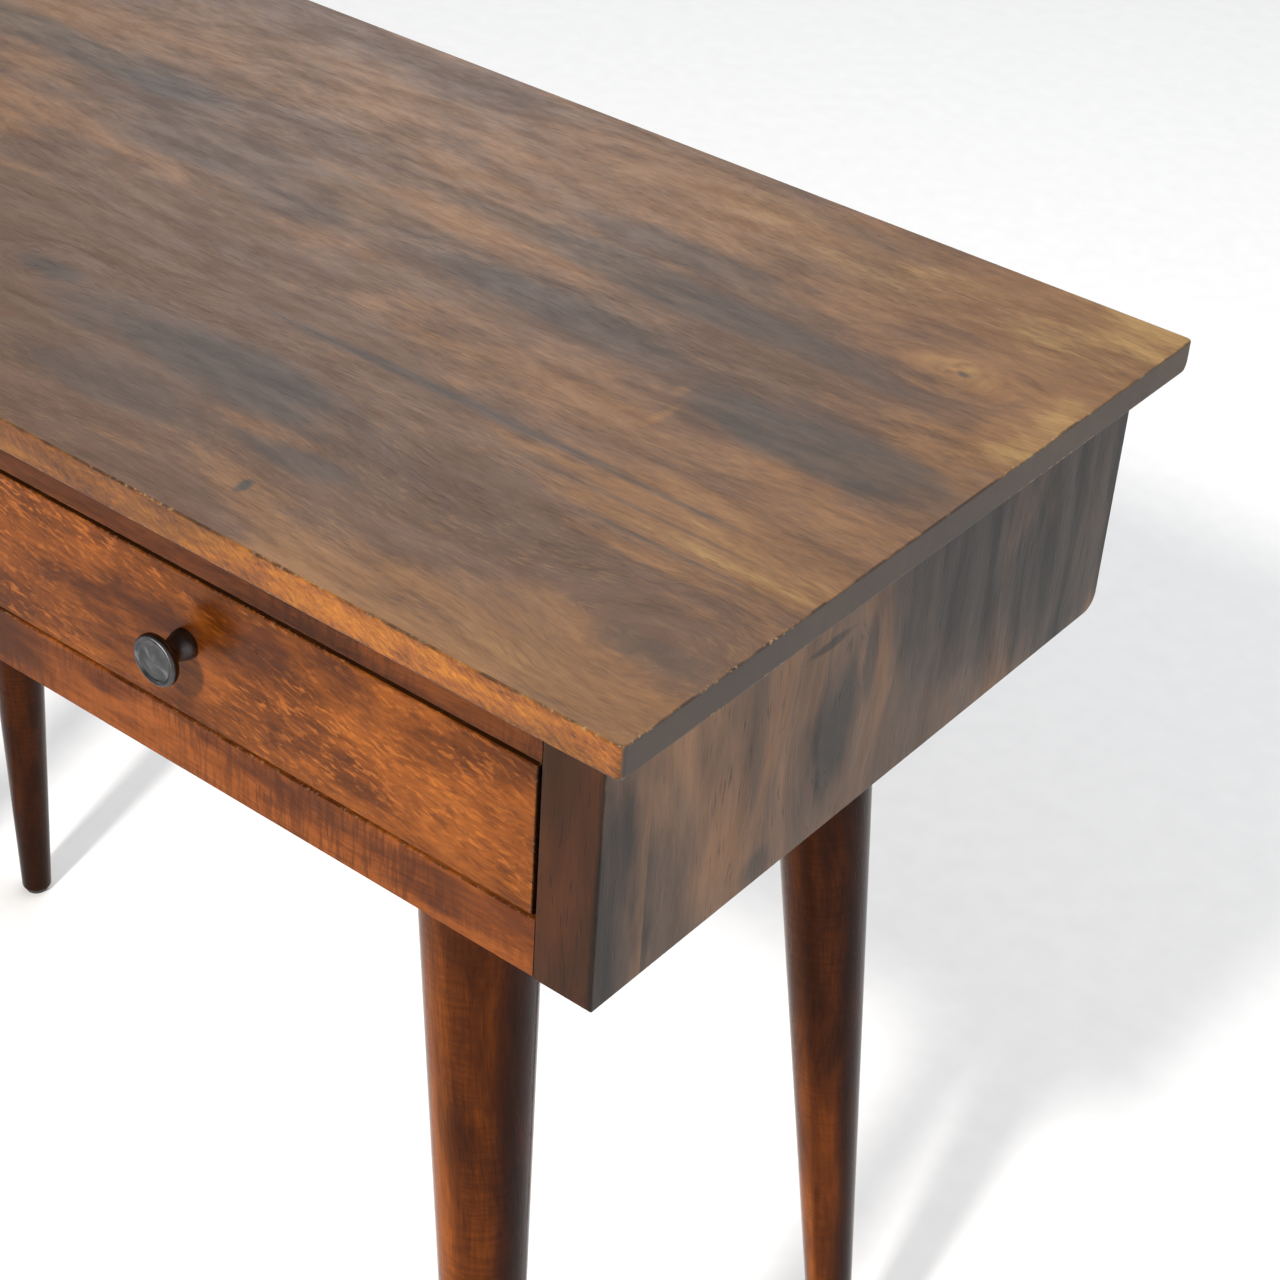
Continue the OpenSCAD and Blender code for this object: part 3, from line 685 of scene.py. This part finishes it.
def make_top():
    low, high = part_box("top_panel")
    patches = [
        ((0.378, 0.012, TOP_Z), (0.085, 0.028, 0.5), 0.85),
        ((0.250, 0.080, TOP_Z), (0.140, 0.015, 0.5), 0.65),
        ((0.230, 0.113, TOP_Z), (0.075, 0.015, 0.5), 0.60),
        ((0.220, 0.030, TOP_Z), (0.100, 0.018, 0.5), 0.55),
        ((0.250, -0.062, TOP_Z), (0.150, 0.004, 0.5), 0.75),
        ((0.150, -0.113, TOP_Z), (0.095, 0.024, 0.5), 0.80),
        ((0.350, -0.078, TOP_Z), (0.080, 0.0016, 0.5), 0.45),
        ((0.380, -0.094, TOP_Z), (0.060, 0.0018, 0.5), 0.50),
        ((0.225, -0.144, TOP_Z), (0.035, 0.010, 0.5), 0.70),
        ((0.130, -0.155, TOP_Z), (0.075, 0.018, 0.5), 0.60),
        ((0.030, -0.102, TOP_Z), (0.030, 0.008, 0.5), 0.70),
        ((0.060, 0.020, TOP_Z), (0.060, 0.014, 0.5), 0.50),
        ((0.386, 0.107, TOP_Z), (0.0034, 0.0025, 0.5), 0.85),
        ((0.226, -0.174, TOP_Z), (0.003, 0.006, 0.5), 1.0),
        ((0.415, -0.152, TOP_Z), (0.030, 0.012, 0.5), 0.45),
        ((0.115, -0.2095, 0.752), (0.018, 0.004, 0.5), 0.55),
        ((-0.240, 0.040, TOP_Z), (0.006, 0.004, 0.5), 1.0),
        ((-0.150, 0.075, TOP_Z), (0.130, 0.018, 0.5), 0.75),
        ((-0.310, -0.060, TOP_Z), (0.110, 0.018, 0.5), 0.85),
        ((-0.330, 0.130, TOP_Z), (0.090, 0.018, 0.5), 0.65),
        ((-0.120, -0.150, TOP_Z), (0.120, 0.010, 0.5), 0.80),
    ]
    zones = [
        ((0.43, 0.19, TOP_Z), (0.06, 0.030, 0.5), 0.20),
        ((0.44, 0.08, TOP_Z), (0.025, 0.07, 0.5), 0.22),
        ((0.42, -0.080, TOP_Z), (0.09, 0.038, 0.5), 0.14),
        ((0.33, -0.070, TOP_Z), (0.11, 0.004, 0.5), 0.12),
        ((0.36, -0.086, TOP_Z), (0.10, 0.005, 0.5), 0.12),
        ((0.38, -0.104, TOP_Z), (0.07, 0.004, 0.5), 0.13),
        ((0.39, -0.172, TOP_Z), (0.09, 0.034, 0.5), 0.20),
        ((0.386, 0.107, TOP_Z), (0.026, 0.020, 0.5), 0.12),
        ((0.330, 0.165, TOP_Z), (0.110, 0.035, 0.5), 0.10),
        ((0.200, -0.136, TOP_Z), (0.036, 0.007, 0.5), 0.20),
        ((0.305, 0.008, TOP_Z), (0.004, 0.010, 0.5), 0.14),
        ((0.312, -0.014, TOP_Z), (0.003, 0.014, 0.5), 0.16),
        ((0.300, 0.060, TOP_Z), (0.140, 0.050, 0.5), -0.18),
        ((0.200, 0.000, TOP_Z), (0.180, 0.080, 0.5), -0.08),
        ((0.020, -0.110, TOP_Z), (0.160, 0.110, 0.5), -0.26),
        ((0.020, -0.190, TOP_Z), (0.200, 0.040, 0.5), -0.34),
        ((-0.20, -0.02, TOP_Z), (0.120, 0.080, 0.5), 0.16),
        ((-0.38, 0.06, TOP_Z), (0.080, 0.100, 0.5), 0.24),
        # painted light: the front edge is made lighter towards its right end
        ((0.42, -0.2095, 0.752), (0.14, 0.004, 0.5), 0.40),
    ]
    swirls = [
        ((0.386, 0.107, TOP_Z), (0.040, 0.022, 0.5)),
        ((0.415, -0.150, TOP_Z), (0.060, 0.040, 0.5)),
        ((0.030, -0.101, TOP_Z), (0.050, 0.022, 0.5)),
        ((-0.240, 0.040, TOP_Z), (0.060, 0.026, 0.5)),
    ]
    material = wood(
        "top_wood",
        seed=1.0,
        cool=(0.088, 0.041, 0.019),
        warm=(0.166, 0.074, 0.023),
        gold=(0.262, 0.146, 0.044),
        heart=(0.038, 0.028, 0.022),
        contrast=0.62,
        grain_drift=0.20,
        streak_scale=(26, 110),
        fibre_scale=(110, 640),
        heart_amount=0.45,
        patches=patches,
        zones=zones,
        swirls=swirls,
        staves=("Y", (-0.21, -0.063, 0.21)),
        fleck=0.13,
        fleck_scale=(120, 800),
        pores=0.35,
        end_dark=0.90,
        # the front edge is tinted brighter and more orange: partly its own tone, partly painted light where the key
        # lamp falls
        face_tones_and_light=[("Y", -1, 0.6, 0.9, (1.62, 1.06, 0.13))],
        strokes=("Y", -1, (0, -0.50, 0), 1.0),
        specular=0.33,
        edge=0.5,
        edge_colour=(0.42, 0.27, 0.13),
    )
    slab(
        "top_board", "Z", low, high, material, "frame", ["top_panel"],
        corners=(3, 3, 3, 3), rims_low=(2, 2, 1.2, 6), rims_high=(0.9, 0.9, 1.0, 0.9),
    )


def make_sides():
    outer = 0.427
    patches = [
        ((outer, -0.188, 0.655), (0.003, 0.032, 0.090), 0.95),
        ((outer, -0.092, 0.700), (THROUGH, 0.008, 0.045), 0.50),
        ((outer, -0.082, 0.620), (THROUGH, 0.012, 0.010), 0.60),
        ((outer, -0.034, 0.670), (THROUGH, 0.021, 0.044), 1.0),
        ((outer, -0.046, 0.713), (THROUGH, 0.020, 0.003), 0.90),
        ((outer, -0.010, 0.688), (THROUGH, 0.006, 0.032), 0.75),
        ((outer, 0.062, 0.712), (THROUGH, 0.058, 0.078), 1.0),
        ((outer, 0.120, 0.664), (THROUGH, 0.040, 0.040), 1.0),
        ((outer, 0.172, 0.700), (THROUGH, 0.078, 0.095), 1.0),
        ((outer, 0.150, 0.645), (THROUGH, 0.075, 0.052), 1.0),
        ((outer, 0.080, 0.655), (THROUGH, 0.050, 0.024), 0.70),
        ((0.412, -0.190, 0.712), (0.022, 0.002, 0.034), 0.45),
    ]
    for side, seed in (("left", 6.0), ("right", 2.0)):
        node = side + "_side_panel"
        low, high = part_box(node)
        # the right panel's dark patches would make its back end darker than the back panel beside it
        back_tints = [("Y", 1, 0.6, 0.9, (3.6, 2.7, 1.8))] if side == "right" else []
        material = wood(
            side + "_panel_wood",
            grain="Z",
            seed=seed,
            cool=(0.080, 0.050, 0.034),
            warm=(0.196, 0.100, 0.050),
            heart=(0.022, 0.018, 0.016),
            contrast=0.42,
            heart_amount=0.7,
            patches=patches if side == "right" else [],
            swirls=[((outer, -0.033, 0.668), (THROUGH, 0.034, 0.060))] if side == "right" else [],
            staves=("Y", (-0.19, -0.160, -0.045, 0.023, 0.093, 0.195)),
            fleck=0.12,
            pores=0.5,
            pore_scale=(70, 850),
            end_dark=0.3,
            # painted shade: the inner face, seen through the drawer gaps, is painted nearly black
            gap_shade_faces=[("X", -1 if side == "right" else 1, 0.5)],
            specular=0.11,
            face_tones_and_light=[("Y", -1, 0.6, 0.9, (0.40, 0.215, 0.085))] + back_tints,
            edge=0.7,
            edge_colour=(0.030, 0.016, 0.010),
        )
        slab(
            side + "_side_board", "X", low, high, material, "frame", [node],
            corners=(0.8, 9, 0.5, 0.5), rims_low=(0.8, 0.8, 0.8, 0.4), rims_high=(0.8, 0.8, 0.8, 0.4),
        )


def make_rails():
    upper = dict(
        cool=(0.060, 0.014, 0.002),
        warm=(0.140, 0.036, 0.005),
        patches=[
            ((0.10, FRONT_Y, 0.731), (0.10, THROUGH, 0.010), 0.6),
            ((-0.25, FRONT_Y, 0.731), (0.12, THROUGH, 0.010), 0.6),
        ],
        zones=[((0.36, FRONT_Y, 0.731), (0.030, THROUGH, 0.008), 0.3)],
        # painted shade: the underside above the drawer gap is painted nearly black
        gap_shade_faces=[("Z", -1, 0.8)],
    )
    lower = dict(
        cool=(0.110, 0.025, 0.003),
        warm=(0.240, 0.062, 0.008),
        patches=[
            ((0.310, FRONT_Y, 0.635), (0.100, THROUGH, 0.006), 0.40),
            ((0.070, FRONT_Y, 0.632), (0.070, THROUGH, 0.016), 0.90),
            ((-0.250, FRONT_Y, 0.630), (0.140, THROUGH, 0.009), 0.55),
        ],
        zones=[
            ((0.260, FRONT_Y, 0.616), (0.200, THROUGH, 0.006), 0.2),
            ((0.190, FRONT_Y, 0.628), (0.060, THROUGH, 0.009), 0.34),
        ],
    )
    for node, seed, look in (("top_front_rail", 3.0, upper), ("bottom_front_rail", 4.0, lower)):
        low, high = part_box(node)
        material = wood(
            node + "_wood",
            seed=seed,
            heart=(0.052, 0.014, 0.004),
            heart_amount=0.35,
            drift_scale=(10, 40),
            streak_scale=(20, 160),
            fleck=0.30,
            cross=0.55,
            specular=0.09,
            edge=0.35,
            edge_colour=(0.40, 0.22, 0.12),
            **look,
        )
        slab(
            node + "_board", "Y", low, high, material, "frame", [node],
            corners=(0.3, 0.3, 0.3, 0.3), rims_low=(0.05, 0.05, 0.5, 0.8), rims_high=(0.05, 0.05, 0.5, 0.5),
        )


def make_case_boards():
    panel = dict(cool=(0.120, 0.062, 0.038), warm=(0.200, 0.102, 0.052), heart=(0.038, 0.031, 0.029), contrast=0.6)
    front = [("Y", -1, 0.6, 0.9, (0.52, 0.26, 0.10))]
    divider = wood("divider_wood", grain="Z", seed=8.0, pores=0.5, face_tones_and_light=front, **panel)
    eased("centre_divider", "divider_board", divider, "frame", ease=0.6)
    back = wood("back_wood", seed=9.0, pores=0.4, **panel)
    eased("back_panel", "back_board", back, "frame", ease=0.8)
    for side, seed in (("left", 10.0), ("right", 11.0)):
        batten = wood(side + "_batten_wood", grain="Y", seed=seed, **panel)
        eased(side + "_leg_batten", side + "_batten_board", batten, "frame", ease=0.8)


FRONT_WOOD = dict(
    cool=(0.085, 0.019, 0.001),
    warm=(0.205, 0.053, 0.005),
    gold=(0.330, 0.098, 0.013),
    heart=(0.045, 0.010, 0.002),
    heart_amount=0.25,
    contrast=0.8,
    drift_scale=(18, 52),
    streak_scale=(40, 150),
    fleck=0.62,
    fleck_scale=(130, 440),
    fleck_turn=(0, -0.20, 0),
    pores=0.25,
    end_dark=0.0,
    # painted shade: the ends, top and bottom of each front, inside the gaps, are painted nearly black
    gap_shade_faces=[("X", 1, 0.5), ("X", -1, 0.5), ("Z", 1, 0.8), ("Z", -1, 0.8)],
    specular=0.10,
    roughness=(0.16, 0.28),
    edge=0.18,
    edge_colour=(0.40, 0.24, 0.14),
    arris_dark=0.35,
)


def bare(name, grain, seed):
    """Unstained pale wood of the hidden boards."""
    return wood(
        name,
        grain=grain,
        seed=seed,
        cool=(0.38, 0.240, 0.130),
        warm=(0.47, 0.320, 0.180),
        heart=(0.27, 0.165, 0.085),
        contrast=0.45,
        edge=0.0,
        heart_amount=0.3,
        fleck=0.06,
        pores=0.30,
        end_dark=0.35,
        roughness=(0.50, 0.62),
        specular=0.4,
    )


def make_drawers():
    for n, side in enumerate(("left", "right")):
        body = side + "_drawer"
        shift = 0 if side == "right" else -DRAWER_PITCH
        patches = [
            ((0.250 + shift, FRONT_Y, 0.700), (0.030, THROUGH, 0.014), 0.42),
            ((0.300 + shift, FRONT_Y, 0.704), (0.020, THROUGH, 0.012), 0.40),
            ((0.215 + shift, FRONT_Y, 0.712), (0.030, THROUGH, 0.006), 0.55),
            ((0.120 + shift, FRONT_Y, 0.672), (0.040, THROUGH, 0.012), 0.18),
        ]
        zones = [
            # painted light: the first zone makes each front lighter towards its right end
            ((0.345 + shift, FRONT_Y, 0.672), (0.050, THROUGH, 0.030), 0.17),
            ((0.310 + shift, FRONT_Y, 0.690), (0.010, THROUGH, 0.030), 0.08),
            ((0.160 + shift, FRONT_Y, 0.655), (0.060, THROUGH, 0.012), 0.03),
            ((0.110 + shift, FRONT_Y, 0.700), (0.060, THROUGH, 0.020), 0.06),
        ]
        front = wood(side + "_front_wood", seed=12.0 + n, patches=patches, zones=zones, **FRONT_WOOD)
        eased(side + "_drawer_front", side + "_front_board", front, body, ease=0.9, segments=3)
        side_wood = bare(side + "_drawer_side_wood", "Y", 20.0 + n)
        for part in ("outer", "inner"):
            node = f"{side}_drawer_{part}_side"
            eased(node, f"{side}_drawer_{part}_board", side_wood, body, ease=0.8)
        back_wood = bare(side + "_drawer_back_wood", "X", 24.0 + n)
        eased(side + "_drawer_back", side + "_drawer_back_board", back_wood, body, ease=0.8)
        sheet = plywood(side + "_plywood", 1.3 * n)
        eased(side + "_drawer_bottom", side + "_drawer_bottom_sheet", sheet, body, ease=0.3)


def make_strips():
    strip = bare("strip_wood", "Y", 30.0)
    for side in ("left", "right"):
        for part in ("outer_runner", "inner_runner", "outer_kicker", "inner_kicker"):
            node = f"{side}_{part}"
            eased(node, node + "_strip", strip, "frame", ease=0.7)
    for node, grain in (("drawer_stops", "Y"), ("case_dowels", "X"), ("batten_dowels", "Y")):
        give_material(node, bare(node + "_wood", grain, 31.0))


def make_leg(name, node, leg_wood, side, row):
    """A round leg that narrows to its foot and leans out; its ends are level."""
    low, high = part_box(node)
    top = Vector((side * LEG_X, LEG_MIDDLE_Y + row * LEG_Y, high.z))
    down = Vector((side * math.tan(LEAN_SIDE), row * math.tan(LEAN_FRONT), -1)).normalized()
    length = high.z / -down.z
    e1 = down.cross(Vector((0, 1, 0))).normalized()
    e2 = down.cross(e1)
    slope = (LEG_FOOT_R - LEG_TOP_R) / length
    straight = high.z - low.z - LEG_FOOT_ROUND
    # heights of the rings, and how much the rounded foot takes off the radius there
    levels = [(high.z - straight * k / LEG_STEPS, 0.0) for k in range(LEG_STEPS)]
    for angle in (0, 15, 30, 45, 60, 75, 90):
        t = math.radians(angle)
        levels.append((low.z + LEG_FOOT_ROUND * (1 - math.sin(t)), LEG_FOOT_ROUND * (1 - math.cos(t))))
    bm = bmesh.new()
    loops = []
    for z, cut in levels:
        loop = []
        for i in range(ROUND_SEGMENTS):
            t = 2 * math.pi * i / ROUND_SEGMENTS
            out = math.cos(t) * e1 + math.sin(t) * e2
            s = (z - top.z - LEG_TOP_R * out.z) / (down.z + slope * out.z)
            point = top + s * down + (LEG_TOP_R + slope * s - cut) * out
            point.z = z
            loop.append(bm.verts.new(point))
        loops.append(loop)
    rings_to_mesh(bm, loops)
    finish_mesh(bm, name, leg_wood, "frame", [node])


def make_legs():
    for n, (word, side, row) in enumerate(
        (("front_left", -1, -1), ("front_right", 1, -1), ("back_left", -1, 1), ("back_right", 1, 1))
    ):
        turn = (-LEAN_FRONT * row, LEAN_SIDE * side, 0)
        # painted light on each leg's left side and painted shade on its right side
        tints = [("X", -1, -0.22, 0.10, (2.1, 2.3, 1.7)), ("X", 1, 0.70, 0.98, (0.30, 0.26, 0.30))]
        # painted shade: the back left leg is made darker all over and gets no lit side
        depth = 0.44 if word == "back_left" else 1.0
        material = wood(
            word + "_leg_wood",
            grain="Z",
            seed=40.0 + n,
            cool=scaled((0.046, 0.010, 0.001), depth),
            warm=scaled((0.122, 0.028, 0.003), depth),
            heart=(0.012, 0.003, 0.001),
            face_tones_and_light=[] if word == "back_left" else tints,
            heart_amount=0.5,
            drift_scale=(6, 26),
            cross=0.32,
            fleck=0.10,
            fleck_scale=(60, 500),
            pores=0.3,
            end_dark=0.4,
            roughness=(0.12, 0.20),
            specular=0.06,
            edge=0.0,
            turn=turn,
        )
        make_leg(word + "_turned_leg", word + "_leg", material, side, row)


def make_knobs():
    dark = metal("dark_metal", (0.070, 0.071, 0.075), (0.135, 0.132, 0.134), (0.30, 0.42), turned_axis="Y")
    profile = [
        (7.0, 0), (7.0, 0), (7.0, 1.2), (6.8, 2.8), (6.1, 5.2), (5.4, 7.6), (5.2, 9.6), (5.8, 11.4), (8.0, 12.9),
        (10.4, 13.9), (11.7, 15.0), (12.0, 16.3), (11.9, 17.6), (11.4, 18.6), (10.7, 18.98), (10.1, 18.72),
        (9.4, 18.2), (8.6, 17.9), (7.4, 17.95), (5.6, 18.25), (3.6, 18.6), (1.8, 18.87), (0, 18.95),
    ]
    for side in ("left", "right"):
        node = side + "_knob"
        low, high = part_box(node)
        centre = (low + high) / 2
        matrix = Matrix.Translation((centre.x, high.y, centre.z)) @ Matrix.Rotation(math.radians(90), 4, "X")
        bm = bmesh.new()
        lathe(bm, [(p.x * MM, p.y * MM) for p in smooth_path(profile, 4)], matrix)
        finish_mesh(bm, side + "_turned_knob", dark, side + "_drawer", [node])


def make_metal_parts():
    zinc = metal("zinc_steel", (0.52, 0.52, 0.53), (0.66, 0.65, 0.63), (0.28, 0.42))
    for node in (
        "batten_screws", "runner_screws", "top_screws", "leg_bolts", "leg_washers", "leg_nuts",
        "left_knob_screw", "right_knob_screw",
    ):
        give_material(node, zinc)
    give_material("foot_glides", nylon("nylon"))


add_camera()
add_light()
add_floor()
make_top()
make_sides()
make_rails()
make_case_boards()
make_drawers()
make_strips()
make_legs()
make_knobs()
make_metal_parts()
